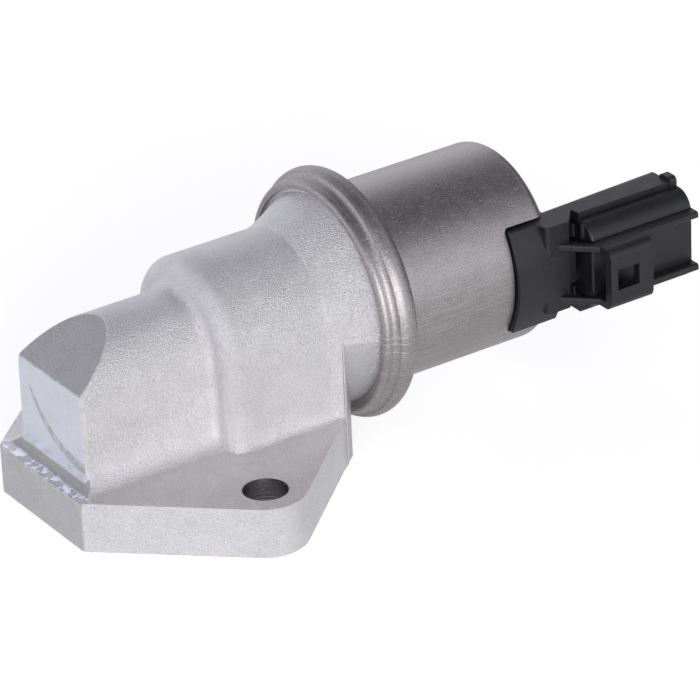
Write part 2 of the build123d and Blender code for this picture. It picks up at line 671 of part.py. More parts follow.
def coil_bobbin():
    """Moulded spool that fits round the sleeve and over the front plate's tube."""
    tube_clear = TUBE_R + FIT_GAP
    step = TUBE_END + TUBE_END_GAP
    left, right = BOBBIN_START, BOBBIN_END
    inner_left, inner_right = left + BOBBIN_FLANGE_THICK, right - BOBBIN_FLANGE_THICK
    return turned(
        (left, tube_clear), (left, BOBBIN_FLANGE_R), (inner_left, BOBBIN_FLANGE_R),
        (inner_left, BOBBIN_HUB_R), (inner_right, BOBBIN_HUB_R), (inner_right, BOBBIN_FLANGE_R),
        (right, BOBBIN_FLANGE_R), (right, SLEEVE_R + FIT_GAP), (step, SLEEVE_R + FIT_GAP),
        (step, tube_clear))


def coil_winding():
    """The copper winding as one solid."""
    return ring(
        BOBBIN_START + BOBBIN_FLANGE_THICK, BOBBIN_END - BOBBIN_FLANGE_THICK,
        BOBBIN_HUB_R, WINDING_R)


def body_seal():
    """O-ring in the collar's groove, against the front plate."""
    centre = COLLAR_FACE - SEAL_WIRE_R
    loop = Pos(centre, SEAL_MEAN_R) * Rot(0, 0, 180 / SEAL_SIDES) * RegularPolygon(
        SEAL_WIRE_R, SEAL_SIDES, major_radius=False)
    return Pos(0, 0, AXIS_HEIGHT) * revolve(loop, Axis.X)


def can_profile():
    """Half section of the can: rolled rim, valley, bead, foot, plain wall, rear corner and lip."""
    left = COLLAR_LEFT - FIT_GAP - RIM_LIP_THICK
    rim_r = COLLAR_R + RIM_RISE
    rim_start = (left, COLLAR_R)
    valley_start = (left + RIM_WIDTH, rim_r)
    valley_middle = (left + RIM_WIDTH + VALLEY_WIDTH / 2, rim_r + VALLEY_BULGE)
    bead_r = COLLAR_R + BEAD_RISE
    bead_x = FRONT_PLATE_X + BEAD_REACH
    bead_start = (left + RIM_WIDTH + VALLEY_WIDTH, bead_r - BEAD_SHOULDER)
    right = COIL_SPACE_X + BEAD_REACH
    side_start = (right - BEAD_CORNER_LENGTH, bead_r - BEAD_CORNER_DROP)
    side_middle = (
        right - BEAD_CORNER_LENGTH / 4, bead_r - (BEAD_CORNER_DROP + BEAD_SIDE) / 2)
    side_end = (right, bead_r - BEAD_SIDE)
    foot = CAN_R + BEAD_FOOT_R
    foot_corner = BEAD_FOOT_R * (1 - cos(pi / 4))
    corner = CAN_CORNER_R * (1 - cos(pi / 4))
    tip = COLLAR_R - RIM_OVERLAP
    edge = CAN_END - CAN_CORNER_R
    lip = CAN_R - CAN_LIP_WIDTH
    return make_face([
        Line((left, tip), rim_start),
        ThreePointArc(rim_start, (left + RIM_ROUND, rim_r - RIM_ROUND / 2), valley_start),
        ThreePointArc(valley_start, valley_middle, bead_start),
        ThreePointArc(bead_start, (bead_x, bead_r), side_start),
        ThreePointArc(side_start, side_middle, side_end),
        Line(side_end, (right, foot)),
        ThreePointArc(
            (right, foot), (right + foot_corner, CAN_R + foot_corner),
            (right + BEAD_FOOT_R, CAN_R)),
        Line((right + BEAD_FOOT_R, CAN_R), (edge, CAN_R)),
        ThreePointArc(
            (edge, CAN_R), (CAN_END - corner, CAN_R - corner), (CAN_END, CAN_R - CAN_CORNER_R)),
        Line((CAN_END, CAN_R - CAN_CORNER_R), (CAN_END, lip)),
        Line((CAN_END, lip), (REAR_PLATE_RIGHT, lip)),
        Line((REAR_PLATE_RIGHT, lip), (REAR_PLATE_RIGHT, CAN_BORE_R)),
        Line((REAR_PLATE_RIGHT, CAN_BORE_R), (COIL_SPACE_X, CAN_BORE_R)),
        Line((COIL_SPACE_X, CAN_BORE_R), (COIL_SPACE_X, BEAD_BORE_R)),
        Line((COIL_SPACE_X, BEAD_BORE_R), (COLLAR_LEFT - FIT_GAP, BEAD_BORE_R)),
        Line((COLLAR_LEFT - FIT_GAP, BEAD_BORE_R), (COLLAR_LEFT - FIT_GAP, tip)),
        Line((COLLAR_LEFT - FIT_GAP, tip), (left, tip)),
    ])


def solenoid_can():
    """Drawn steel can: a bead rolled over the collar, a plain wall and a turned-in rear lip."""
    can = Pos(0, 0, AXIS_HEIGHT) * revolve(can_profile(), Axis.X)
    notch = block(
        (NOTCH_START, CAN_END + 1), (-CAN_R - 1, 0), (-NOTCH_HALF_HEIGHT, NOTCH_HALF_HEIGHT))
    corners = [edge for edge in notch.edges().filter_by(Axis.Y)
               if abs(edge.center().X - NOTCH_START) < 0.01]
    return can - fillet(corners, NOTCH_CORNER_R)


def upright(plan, low, high):
    """Extrude a plan (x, y) face between two heights measured from the barrel axis."""
    return Pos(0, 0, AXIS_HEIGHT + low) * extrude(plan, high - low)


def neck_plan(end):
    """Plan of the neck, from its swelling foot to a front corner at x = end."""
    foot = (NECK_X, KEY_NOTCH_BACK)
    front_start = (NECK_X + NECK_FOOT_LENGTH, NECK_FRONT)
    return make_face([
        Line(foot, (NECK_X, NECK_FRONT + 2)),
        Spline((NECK_X, NECK_FRONT + 2), front_start, tangents=((1, 0), (1, 0))),
        Line(front_start, (end, NECK_FRONT)),
        Line((end, NECK_FRONT), (SOCKET_START, KEY_NOTCH_BACK)),
        Line((SOCKET_START, KEY_NOTCH_BACK), foot),
    ])


def connector_root():
    """The saddle that fills the can's notch, and the neck that swells out of it."""
    saddle_end = CAN_END + SADDLE_END_GAP
    neck_end = CAN_END + NECK_END
    bar = across(Circle(SADDLE_R), SADDLE_START, neck_end)
    saddle = bar & block(
        (SADDLE_START, saddle_end), (-SADDLE_R, CONNECTOR_BACK),
        (-SADDLE_HALF_HEIGHT, SADDLE_HALF_HEIGHT))
    bulge = bar & block(
        (SADDLE_START, neck_end), (-SADDLE_R, KEY_NOTCH_BACK), (-NECK_DROP, SADDLE_HALF_HEIGHT))
    neck = upright(neck_plan(neck_end), -NECK_DROP, SADDLE_HALF_HEIGHT)
    middle = upright(
        neck_plan(CAN_END + NECK_MIDDLE_END), -NECK_MIDDLE_DROP, RAIL_TOP - RAIL_THICK)
    hollow = across(
        Circle(CAN_BORE_R - HOLLOW_GAP), SADDLE_START - 1, BOBBIN_END + BOBBIN_LEFT_GAP)
    return saddle + bulge + neck + middle - hollow


def keys():
    """The keys along the top and bottom of the socket; the upper one runs on over the neck."""
    start = SOCKET_START + KEY_NOTCH_LENGTH
    front = [(start, KEY_FRONT), (KEY_END, KEY_FRONT), (KEY_END, KEY_BACK_END)]
    upper_start = CAN_END + SADDLE_END_GAP
    upper = upright(
        make_face(Polyline(
            (upper_start, KEY_BACK_START), (upper_start, KEY_NOTCH_BACK),
            (SOCKET_START, KEY_NOTCH_BACK), *front, close=True)),
        0, SADDLE_HALF_HEIGHT)
    lower = upright(
        make_face(Polyline((start, KEY_BACK_START), *front, close=True)),
        -SADDLE_HALF_HEIGHT, 0)
    upper_edge = upper.edges().group_by(Axis.Z)[-1].sort_by(Axis.Y)[-1]
    lower_edge = lower.edges().group_by(Axis.Z)[0].sort_by(Axis.Y)[-1]
    return [fillet(upper_edge, KEY_EDGE_R), fillet(lower_edge, KEY_EDGE_R)]


def shroud():
    """The hollow plug socket."""
    middle_y = (SOCKET_FRONT + SOCKET_BACK) / 2
    width = SOCKET_BACK - SOCKET_FRONT
    outer = RectangleRounded(width, SOCKET_HALF_HEIGHT * 2, SOCKET_CORNER_R)
    body = across(Pos(middle_y, 0) * outer, SOCKET_START, SOCKET_END)
    front_edge = body.edges().filter_by(Axis.Z).sort_by(Axis.X)[0:2].sort_by(Axis.Y)[0]
    body = fillet(front_edge, SOCKET_EDGE_R)
    link = block(
        (CAN_END + SADDLE_END_GAP, SOCKET_START + SOCKET_END_WALL / 2),
        (KEY_NOTCH_BACK, CONNECTOR_BACK), (-LINK_HALF_HEIGHT, LINK_HALF_HEIGHT))
    return body + link


def mouth_key():
    """Raised key over the mouth of the socket."""
    key = block(
        (SOCKET_END - MOUTH_KEY_LENGTH, SOCKET_END),
        (MOUTH_KEY_FRONT, MOUTH_KEY_FRONT + MOUTH_KEY_WIDTH),
        (SOCKET_HALF_HEIGHT - 1, SOCKET_HALF_HEIGHT + MOUTH_KEY_RISE))
    return fillet(key.edges().filter_by(Axis.X).group_by(Axis.Z)[-1], MOUTH_KEY_RISE / 2)


def latch_rails():
    """Two rails along the front of the socket, that carry the latch bridge."""
    rails = []
    for low in (-RAIL_TOP, RAIL_TOP - RAIL_THICK):
        rail = block(
            (SOCKET_START, SOCKET_END), (RAIL_FRONT, SOCKET_FRONT + 1), (low, low + RAIL_THICK))
        tip = rail.edges().filter_by(Axis.X).group_by(Axis.Y)[0]
        rails.append(fillet(tip, RAIL_THICK * 0.4))
    return rails


def latch_bridge():
    """The loop over the socket that the plug's latch slides under, with its window."""
    inner_top = RAIL_TOP - RAIL_THICK
    end = SOCKET_START + BRIDGE_LENGTH
    loop = block(
        (SOCKET_START, end), (BRIDGE_FRONT, SOCKET_FRONT + 1), (-RAIL_TOP, RAIL_TOP))
    loop = fillet(loop.edges().filter_by(Axis.X).group_by(Axis.Y)[0], BRIDGE_CORNER_R)
    loop -= block(
        (SOCKET_START - 1, end + 1), (BRIDGE_FRONT + BRIDGE_THICK, SOCKET_FRONT + 2),
        (-inner_top, inner_top))
    window_x = SOCKET_START + WINDOW_START
    window = block(
        (window_x, window_x + WINDOW_LENGTH), (BRIDGE_FRONT - 1, BRIDGE_FRONT + BRIDGE_THICK + 0.5),
        (-WINDOW_HALF_HEIGHT, WINDOW_HALF_HEIGHT))
    return loop - window


def struts():
    """Two slanting struts from the neck out to the bridge, with rounded edges."""
    start = (SOCKET_START - STRUT_REACH, NECK_FRONT + STRUT_WIDTH)
    end = (SOCKET_START + STRUT_END_DEPTH, SOCKET_FRONT - STRUT_RISE)
    bars = []
    for low in (-RAIL_TOP, RAIL_TOP - RAIL_THICK):
        outline = offset(Line(start, end), STRUT_WIDTH / 2, side=Side.BOTH)
        bar = upright(make_face(outline.edges()), low, low + RAIL_THICK)
        long_edges = [edge for edge in bar.edges() if edge.length > STRUT_REACH]
        bars.append(fillet(long_edges, STRUT_EDGE_R))
    return bars


def small_ribs():
    """Two short upright ribs on the end wall of the socket, behind each strut."""
    ribs = []
    for inset, low in zip(SMALL_RIB_INSETS, SMALL_RIB_LOWS):
        plan = Pos(SOCKET_START, inset - CAN_R) * Circle(SMALL_RIB_R)
        high = low + SMALL_RIB_LENGTH
        ribs.append(upright(plan, low, high))
        ribs.append(upright(plan, -high, -low))
    return ribs


def connector_housing():
    """The black moulding: root, socket, rails, bridge, struts and keys."""
    housing = connector_root() + shroud() + mouth_key()
    for piece in keys() + latch_rails() + [latch_bridge()] + struts() + small_ribs():
        housing += piece
    middle_y = (SOCKET_FRONT + SOCKET_BACK) / 2
    width = SOCKET_BACK - SOCKET_FRONT - 2 * SOCKET_WALL
    height = 2 * (SOCKET_HALF_HEIGHT - SOCKET_WALL)
    opening = RectangleRounded(width, height, SOCKET_CORNER_R - SOCKET_WALL)
    housing -= across(Pos(middle_y, 0) * opening, SOCKET_FLOOR, SOCKET_END + 1)
    for side in (-1, 1):
        housing -= terminal(side)
    return housing


def terminal(side):
    """A blade from the socket, through the neck and cranked in to the bobbin's end."""
    half_thick = TERMINAL_THICK / 2
    crank_end = TERMINAL_CRANK_X - TERMINAL_CRANK_LENGTH
    centre = Polyline(
        (TERMINAL_TIP - half_thick, TERMINAL_Y), (TERMINAL_CRANK_X, TERMINAL_Y),
        (crank_end, TERMINAL_ROOT_Y), (BOBBIN_END + half_thick, TERMINAL_ROOT_Y))
    strip = make_face(offset(centre, half_thick, kind=Kind.INTERSECTION, side=Side.BOTH).edges())
    z = AXIS_HEIGHT + side * TERMINAL_SPACING / 2 - TERMINAL_WIDTH / 2
    return Pos(0, 0, z) * extrude(strip, TERMINAL_WIDTH)


def build_pieces():
    """Every separate piece, by the name of its node."""
    return {
        "valve_body": valve_body(),
        "seat_ring": seat_ring(),
        "front_bush": bush(LEFT_CHAMBER_START - FRONT_BUSH_LENGTH, FRONT_BUSH_LENGTH),
        "bearing_plate": bearing_plate(),
        "rear_bush": bush(BEARING_END - REAR_BUSH_LENGTH, REAR_BUSH_LENGTH),
        "bearing_retainer": bearing_retainer(),
        "valve_stem": valve_stem(),
        "valve_cone": valve_cone(),
        "valve_clip": stem_clip(VALVE_HUB_END),
        "spring_cup": spring_cup(),
        "cup_clip": stem_clip(CUP_LEFT + CUP_THICK),
        "front_spring": coil_spring(
            LEFT_CHAMBER_START, CUP_LEFT, FRONT_SPRING_R, FRONT_SPRING_WIRE_R,
            FRONT_SPRING_TURNS),
        "return_spring": coil_spring(
            STEM_RIGHT, SCREW_NOSE_X, SPRING_R, SPRING_WIRE_R, RETURN_SPRING_TURNS),
        "armature": armature(),
        "armature_sleeve": armature_sleeve(),
        "fixed_core": fixed_core(),
        "air_gap_shim": air_gap_shim(),
        "adjusting_screw": adjusting_screw(),
        "front_yoke_plate": front_yoke_plate(),
        "rear_yoke_plate": rear_yoke_plate(),
        "coil_bobbin": coil_bobbin(),
        "coil_winding": coil_winding(),
        "body_seal": body_seal(),
        "solenoid_can": solenoid_can(),
        "connector_housing": connector_housing(),
        "upper_terminal": terminal(1),
        "lower_terminal": terminal(-1),
    }


def main():
    os.makedirs("parts", exist_ok=True)
    for name, piece in build_pieces().items():
        export_step(piece, f"parts/{name}.step")


main()
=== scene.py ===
"""Looks for the idle air control valve: its finishes, the marks of its making, and a studio."""

import functools
import math

import bpy
from mathutils import Euler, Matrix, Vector


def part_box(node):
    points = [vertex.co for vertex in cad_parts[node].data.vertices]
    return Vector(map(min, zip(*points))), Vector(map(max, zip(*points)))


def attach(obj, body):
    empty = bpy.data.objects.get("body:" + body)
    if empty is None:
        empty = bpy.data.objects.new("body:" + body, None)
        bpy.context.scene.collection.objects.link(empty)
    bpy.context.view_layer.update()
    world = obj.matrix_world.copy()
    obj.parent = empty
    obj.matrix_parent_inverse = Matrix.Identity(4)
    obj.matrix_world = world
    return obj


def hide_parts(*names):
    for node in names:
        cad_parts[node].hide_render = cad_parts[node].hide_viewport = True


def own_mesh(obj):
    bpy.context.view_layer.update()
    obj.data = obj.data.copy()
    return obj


bl_info = {
    "name": "Idle air control valve looks",
    "version": (1, 0, 0),
    "blender": (4, 5, 0),
    "location": "3D View > Sidebar > Valve",
    "description": "Finishes and studio for the idle air control valve",
    "category": "Object",
}

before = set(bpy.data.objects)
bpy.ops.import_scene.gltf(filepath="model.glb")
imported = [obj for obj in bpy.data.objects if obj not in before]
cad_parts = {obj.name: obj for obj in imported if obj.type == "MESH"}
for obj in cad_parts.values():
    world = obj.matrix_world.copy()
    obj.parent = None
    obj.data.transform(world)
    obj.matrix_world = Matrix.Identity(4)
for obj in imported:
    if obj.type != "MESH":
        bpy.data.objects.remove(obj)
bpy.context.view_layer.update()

MM = 0.001
# The kinds of node that the finishes use most
MATH = "ShaderNodeMath"
VECTOR = "ShaderNodeVectorMath"
RANGE = "ShaderNodeMapRange"
MIX = "ShaderNodeMix"
NOISE = "ShaderNodeTexNoise"
SPLIT = "ShaderNodeSeparateXYZ"
MAPPING = "ShaderNodeMapping"
BUMP = "ShaderNodeBump"
# How strongly each finer layer of noise shows
NOISE_ROUGHNESS = 0.6
NYLON_IOR = 1.53
# The barrel's axis stands this high over the mounting face, as the end of the bore shows
AXIS_Z = (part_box("solenoid_can")[0].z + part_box("solenoid_can")[1].z) / 2


def linear(code):
    """An sRGB hex colour as the linear colour that a socket takes."""
    parts = [int(code[i:i + 2], 16) / 255 for i in (1, 3, 5)]
    return [c / 12.92 if c <= 0.04045 else ((c + 0.055) / 1.055) ** 2.4 for c in parts] + [1.0]


def put(tree, kind, *entries, **settings):
    """Add a node with its settings, and fill its shown inputs in order with links or values."""
    node = tree.nodes.new(kind)
    for key, setting in settings.items():
        setattr(node, key, setting)
    for socket, entry in zip([s for s in node.inputs if s.enabled], entries):
        if isinstance(entry, bpy.types.Node):
            entry = next(s for s in entry.outputs if s.enabled)
        if isinstance(entry, bpy.types.NodeSocket):
            tree.links.new(entry, socket)
        elif entry is not None:
            socket.default_value = entry
    return node


def new_tree(owner):
    """The empty node tree of a material or a world."""
    owner.use_nodes = True
    owner.node_tree.nodes.clear()
    return owner.node_tree


def new_material(name):
    """An empty node material: how to add its nodes, how to end it, and the surface's own place."""
    material = bpy.data.materials.new(name)
    add = functools.partial(put, new_tree(material))

    def shader(base, metallic, roughness, bump, ior=None):
        surface = add("ShaderNodeBsdfPrincipled", base, metallic, roughness, ior, None, bump)
        add("ShaderNodeOutputMaterial", surface)

    return material, add, shader, add("ShaderNodeTexCoord").outputs["Object"]


def finish_node(name, material):
    """Give a CAD node its finish."""
    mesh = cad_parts[name].data
    mesh.materials.clear()
    mesh.materials.append(material)


# Finishes

# Where the casting's finishes and its painted shade change, in the frame of the model
END_FACE_X = -21.2 * MM
END_FACE_LOW = 9.9 * MM
SLOPE_X = -11.8 * MM
FLANGE_TOP = 8.3 * MM
SMOOTH_TOP_HIGH = 8.5 * MM
RUBBED_X = -22.6 * MM
FLANGE_END_X = -24.2 * MM
FLARE_X = 21.7 * MM
PARTING_HEIGHT = 20.9 * MM
BOLT_Y = 25 * MM
BOLT_WALL_R = 3.6 * MM
# Where the can's rolled bands lie along the barrel, and the can's radius
FRONT_BAND_X = 34.2 * MM
REAR_BAND_X = (57.5 * MM, 59.5 * MM)
BEAD_X = (32.6 * MM, 32.2 * MM)
CAN_R = 16 * MM


def shot_blasted_casting(finish):
    """Die-cast aluminium, shot-blasted: a bright even grit with a fine sparkle."""
    material, add, shader, place = new_material("Shot-blasted die-cast aluminium")
    at = add(SPLIT, place).outputs
    facing = add(SPLIT, add("ShaderNodeNewGeometry").outputs["Normal"]).outputs
    grit = add(NOISE, place, 1 / finish.grit, 2.0, NOISE_ROUGHNESS)
    fine = add(NOISE, place, 2.2 / finish.grit, 1.0, NOISE_ROUGHNESS)
    cloud = add(NOISE, place, 1 / (4 * MM), 3.0, NOISE_ROUGHNESS)
    wave = add(NOISE, place, 1 / (1.6 * MM), 3.0, NOISE_ROUGHNESS)

    # The end face was linished after the blasting: smooth, with a wavy border to the slope
    tilt = add(MATH, wave, 0.5, operation="SUBTRACT")
    tilt = add(MATH, tilt, 0.5, facing[0], operation="MULTIPLY_ADD")
    end = add(MATH, add(MATH, at[0], END_FACE_X, operation="LESS_THAN"),
              add(MATH, tilt, -0.86, operation="LESS_THAN"), operation="MULTIPLY")
    above = add(MATH, at[2], END_FACE_LOW, operation="GREATER_THAN")
    end = add(MATH, end, above, operation="MULTIPLY")

    # A duller curved streak runs down the end face, where the belt left it
    level = add("ShaderNodeCombineXYZ", 0.0, at[1], at[2])
    centre = (0.0, finish.streak_centre[0], finish.streak_centre[1])
    reach = add(VECTOR, add(VECTOR, level, centre, operation="SUBTRACT"), operation="LENGTH")
    away = add(MATH, add(MATH, reach, finish.streak, operation="SUBTRACT"), operation="ABSOLUTE")
    width = add(RANGE, at[2], 11 * MM, 20 * MM, 1.2 * MM, 0.35 * MM)
    streak = add(RANGE, add(MATH, away, width, operation="DIVIDE"), 0.6, 1.0, 1.0, 0.0)
    fade = add(MATH, add(RANGE, at[2], 19.5 * MM, 20.5 * MM, 1.0, 0.0),
               add(RANGE, wave, 0.38, 0.5, 0.4, 1.0), operation="MULTIPLY")
    streak = add(MATH, add(MATH, streak, fade, operation="MULTIPLY"), end, operation="MULTIPLY")

    # The mould rubbed the flange's left edge bright in patches
    edge = add(MATH, add(MATH, at[2], FLANGE_TOP, operation="SUBTRACT"), operation="ABSOLUTE")
    rub = add(MATH, add(MATH, at[0], RUBBED_X, operation="LESS_THAN"),
              add(RANGE, edge, 0.4 * MM, 0.9 * MM, 1.0, 0.0), operation="MULTIPLY")
    rub = add(MATH, rub, add(RANGE, wave, 0.48, 0.56), operation="MULTIPLY")

    # The mounting face is milled, and the flange's top is smoother than the rest of the skin
    milled = add(MATH, facing[2], -0.9, operation="LESS_THAN")
    pad = add(MATH, add(MATH, facing[2], 0.97, operation="GREATER_THAN"),
              add(MATH, at[2], SMOOTH_TOP_HIGH, operation="LESS_THAN"), operation="MULTIPLY")

    # The bolt holes are drilled: fine rings and a darker wall
    off = add(MATH, add(MATH, at[1], operation="ABSOLUTE"), BOLT_Y, operation="SUBTRACT")
    radius = add(VECTOR, add("ShaderNodeCombineXYZ", at[0], off, 0.0), operation="LENGTH")
    upright = add(MATH, add(MATH, facing[2], operation="ABSOLUTE"), 0.3, operation="LESS_THAN")
    hole = add(MATH, add(MATH, radius, BOLT_WALL_R, operation="LESS_THAN"), upright,
               operation="MULTIPLY")

    smooth = add(MATH, add(MATH, end, milled, operation="MAXIMUM"),
                 add(MATH, rub, hole, operation="MAXIMUM"), operation="MAXIMUM")
    calm = add(MATH, pad, 0.4, smooth, operation="MULTIPLY_ADD")
    blasted = add(MATH, 1.0, calm, operation="SUBTRACT", use_clamp=True)
    speck = add(MATH, add(RANGE, fine, 0.3, 0.7), blasted, operation="MULTIPLY")

    # A few open pits, about one in six cells of a millimetre
    pits = add("ShaderNodeTexVoronoi", place, 1 / (1.1 * MM)).outputs
    pick = add("ShaderNodeSeparateColor", pits["Color"])
    pit = add(MATH, add(RANGE, pits["Distance"], 0.06, 0.1, 1.0, 0.0),
              add(MATH, pick, 0.82, operation="GREATER_THAN"), operation="MULTIPLY")

    base = add(MIX, speck, linear(finish.dark), linear(finish.light), data_type="RGBA")
    base = add(MIX, pad, base, linear(finish.pad), data_type="RGBA")
    bright = add(MATH, end, rub, operation="MAXIMUM")
    base = add(MIX, bright, base, linear(finish.linished), data_type="RGBA")
    base = add(MIX, streak, base, linear("#C9C9CC"), data_type="RGBA")
    base = add(MIX, hole, base, linear("#B9B6B8"), data_type="RGBA")
    deep = add(MATH, pit, 0.75, operation="MULTIPLY")
    base = add(MIX, deep, base, linear("#6A686B"), data_type="RGBA")

    # Painted shade: the base is darkened on the slopes that face up and left, on the flare's foot
    # below the parting line and on the flange's end, standing in for the shade these faces take
    # from the dim room overhead and from the shadowed floor they mirror.
    slope = add(MATH, add(RANGE, facing[0], -0.3, -0.42),
                add(MATH, facing[2], 0.3, operation="GREATER_THAN"), operation="MULTIPLY")
    left = add(MATH, at[0], SLOPE_X, operation="LESS_THAN")
    slope = add(MATH, slope, left, operation="MULTIPLY")
    # The flange's end gets the most painted shade, for the shadowed floor it mirrors
    butt = add(MATH, at[0], FLANGE_END_X, operation="LESS_THAN")
    foot = add(MATH, add(MATH, at[0], FLARE_X, operation="GREATER_THAN"),
               add(MATH, at[2], PARTING_HEIGHT, operation="LESS_THAN"), operation="MULTIPLY")
    painted_shade = add(MATH, slope, add(MATH, foot, 0.45, operation="MULTIPLY"), operation="MAXIMUM")
    painted_shade = add(MATH, painted_shade, add(MATH, butt, 0.6, operation="MULTIPLY"), operation="MAXIMUM")
    # The cloud's random tone, times the painted shade
    shade = add(MATH, add(RANGE, cloud, 0.3, 0.7, 0.95, 1.04),
                add(MATH, painted_shade, -0.36, 1.0, operation="MULTIPLY_ADD"), operation="MULTIPLY")
    base = add(VECTOR, base, shade, operation="SCALE")

    rough = add(MATH, fine, 0.5, operation="SUBTRACT")
    rough = add(MATH, rough, 0.5, finish.roughness, operation="MULTIPLY_ADD")
    rough = add(MATH, smooth, -0.16, rough, operation="MULTIPLY_ADD")
    rough = add(MATH, pad, -0.1, rough, operation="MULTIPLY_ADD")

    flat = add(MAPPING, place, None, None, (0.03, 0.03, 1))
    drill = add(NOISE, flat, 1 / (0.3 * MM), 1.0, NOISE_ROUGHNESS)
    height = add(MATH, fine, 0.8, grit, operation="MULTIPLY_ADD")
    height = add(MATH, height, add(RANGE, blasted, 0.0, 1.0, 0.06, 1.0), operation="MULTIPLY")
    drill_depth = add(MATH, hole, 0.4, operation="MULTIPLY")
    height = add(MATH, drill, drill_depth, height, operation="MULTIPLY_ADD")
    height = add(MATH, pit, -0.8, height, operation="MULTIPLY_ADD")
    shader(base, 1.0, rough, add(BUMP, 1.0, finish.depth, None, height))
    return material


def drawn_steel(finish):
    """Deep-drawn mild steel: a warm grey with handling ticks, draw lines and hatched bands."""
    material, add, shader, place = new_material("Drawn mild steel")
    at = add(SPLIT, place).outputs
    rise = add(MATH, at[2], AXIS_Z, operation="SUBTRACT")
    turn = add(MATH, at[1], rise, operation="ARCTAN2")
    skin = add("ShaderNodeCombineXYZ", at[0], add(MATH, turn, CAN_R, operation="MULTIPLY"))
    cloud = add(NOISE, skin, 1 / (2.5 * MM), 4.0, NOISE_ROUGHNESS)
    grain = add(NOISE, skin, 1 / finish.grain, 2.0, NOISE_ROUGHNESS)

    # Short ticks lie at a slant both ways, where cans knocked together in the bin
    slant = add(MAPPING, skin, None, (0, 0, 0.5), (0.16, 1, 1))
    back = add(MAPPING, skin, None, (0, 0, -1.0), (0.16, 1, 1))
    ticks = add(MATH, add(NOISE, slant, 1 / (0.2 * MM), 1.0, NOISE_ROUGHNESS),
                add(NOISE, back, 1 / (0.2 * MM), 1.0, NOISE_ROUGHNESS), operation="MAXIMUM")
    ticks = add(RANGE, ticks, 0.64, 0.76)

    # Long draw lines run lengthways on the lower front
    drawn = add(MAPPING, skin, None, None, (0.02, 1, 1))
    lines = add(NOISE, drawn, 1 / (0.3 * MM), 2.0, NOISE_ROUGHNESS)
    lines = add(MATH, add(RANGE, lines, 0.55, 0.68), add(RANGE, turn, -1.3, -1.5, 0.0, 1.0),
                operation="MULTIPLY")

    # Bands of fine rings by the bead and by the rear corner, where the rolls gripped
    rolled = add(MAPPING, skin, None, None, (1, 0.06, 1))
    rings = add(NOISE, rolled, 1 / (0.22 * MM), 2.0, NOISE_ROUGHNESS)
    front = add(MATH, add(MATH, at[0], FRONT_BAND_X, operation="SUBTRACT"), operation="ABSOLUTE")
    front = add(RANGE, front, 0.6 * MM, 1.8 * MM, 1.0, 0.0)
    rear = add(RANGE, at[0], *REAR_BAND_X, 0.0, 0.6)
    bead = add(RANGE, at[0], *BEAD_X)
    band = add(MATH, add(MATH, front, rear, operation="MAXIMUM"),
               add(MATH, bead, 0.5, operation="MULTIPLY"), operation="MAXIMUM")
    rings = add(MATH, add(MATH, rings, 0.5, operation="SUBTRACT"), band, operation="MULTIPLY")

    marks = add(MATH, ticks, lines, operation="ADD")
    tone = add(RANGE, cloud, 0.2, 0.8, 0.3, 0.7)
    speck = add(MATH, grain, 0.5, operation="SUBTRACT")
    tone = add(MATH, speck, 3.0, tone, operation="MULTIPLY_ADD")
    tone = add(MATH, rings, 0.9, tone, operation="MULTIPLY_ADD")
    tone = add(MATH, marks, 0.7, tone, operation="MULTIPLY_ADD", use_clamp=True)
    base = add(MIX, tone, linear(finish.dark), linear(finish.light), data_type="RGBA")
    rough = add(MATH, cloud, 0.5, operation="SUBTRACT")
    rough = add(MATH, rough, 0.16, finish.roughness, operation="MULTIPLY_ADD")
    rough = add(MATH, bead, 0.1, rough, operation="MULTIPLY_ADD")
    height = add(MATH, grain, 0.8, operation="MULTIPLY")
    height = add(MATH, rings, 1.0, height, operation="MULTIPLY_ADD")
    height = add(MATH, marks, -0.6, height, operation="MULTIPLY_ADD")
    shader(base, 1.0, rough, add(BUMP, 1.0, finish.depth, None, height))
    return material


def moulded_nylon(name, finish):
    """Glass-filled nylon from the mould: near black, a low satin sheen, a few scuffs."""
    material, add, shader, place = new_material(name)
    cloud = add(NOISE, place, 1 / (3 * MM), 4.0, NOISE_ROUGHNESS)
    grain = add(NOISE, place, 1 / (0.25 * MM), 2.0, NOISE_ROUGHNESS)
    long = add(MAPPING, place, None, None, (0.2, 1, 1))
    scuff = add(NOISE, long, 1 / (0.5 * MM), 2.0, NOISE_ROUGHNESS)
    tone = add(MATH, add(RANGE, scuff, 0.66, 0.74), 0.8, add(RANGE, cloud, 0.35, 0.7),
               operation="MULTIPLY_ADD", use_clamp=True)
    base = add(MIX, tone, linear(finish.dark), linear(finish.light), data_type="RGBA")
    rough = add(RANGE, cloud, 0.3, 0.7, finish.roughness - 0.05, finish.roughness + 0.05)
    shader(base, 0.0, rough, add(BUMP, 1.0, 0.008 * MM, None, grain), NYLON_IOR)
    return material


def moulded_rubber():
    """Nitrile rubber from a mould: black and matt, with a soft broad sheen."""
    material, add, shader, place = new_material("Moulded nitrile rubber")
    grain = add(NOISE, place, 1 / (0.3 * MM), 2.0, NOISE_ROUGHNESS)
    base = add(MIX, grain, linear("#141416"), linear("#232325"), data_type="RGBA")
    shader(base, 0.0, 0.7, add(BUMP, 1.0, 0.01 * MM, None, grain))
    return material


def turned_metal(name, light, dark, roughness, pitch):
    """Turned or ground metal: fine rings round the barrel's axis at the tool's feed."""
    material, add, shader, place = new_material(name)
    along = add(MAPPING, place, None, None, (1, 0.05, 0.05))
    rings = add(NOISE, along, 1 / pitch, 2.0, NOISE_ROUGHNESS)
    base = add(MIX, rings, linear(dark), linear(light), data_type="RGBA")
    shader(base, 1.0, roughness, add(BUMP, 1.0, 0.005 * MM, None, rings))
    return material


# Settings


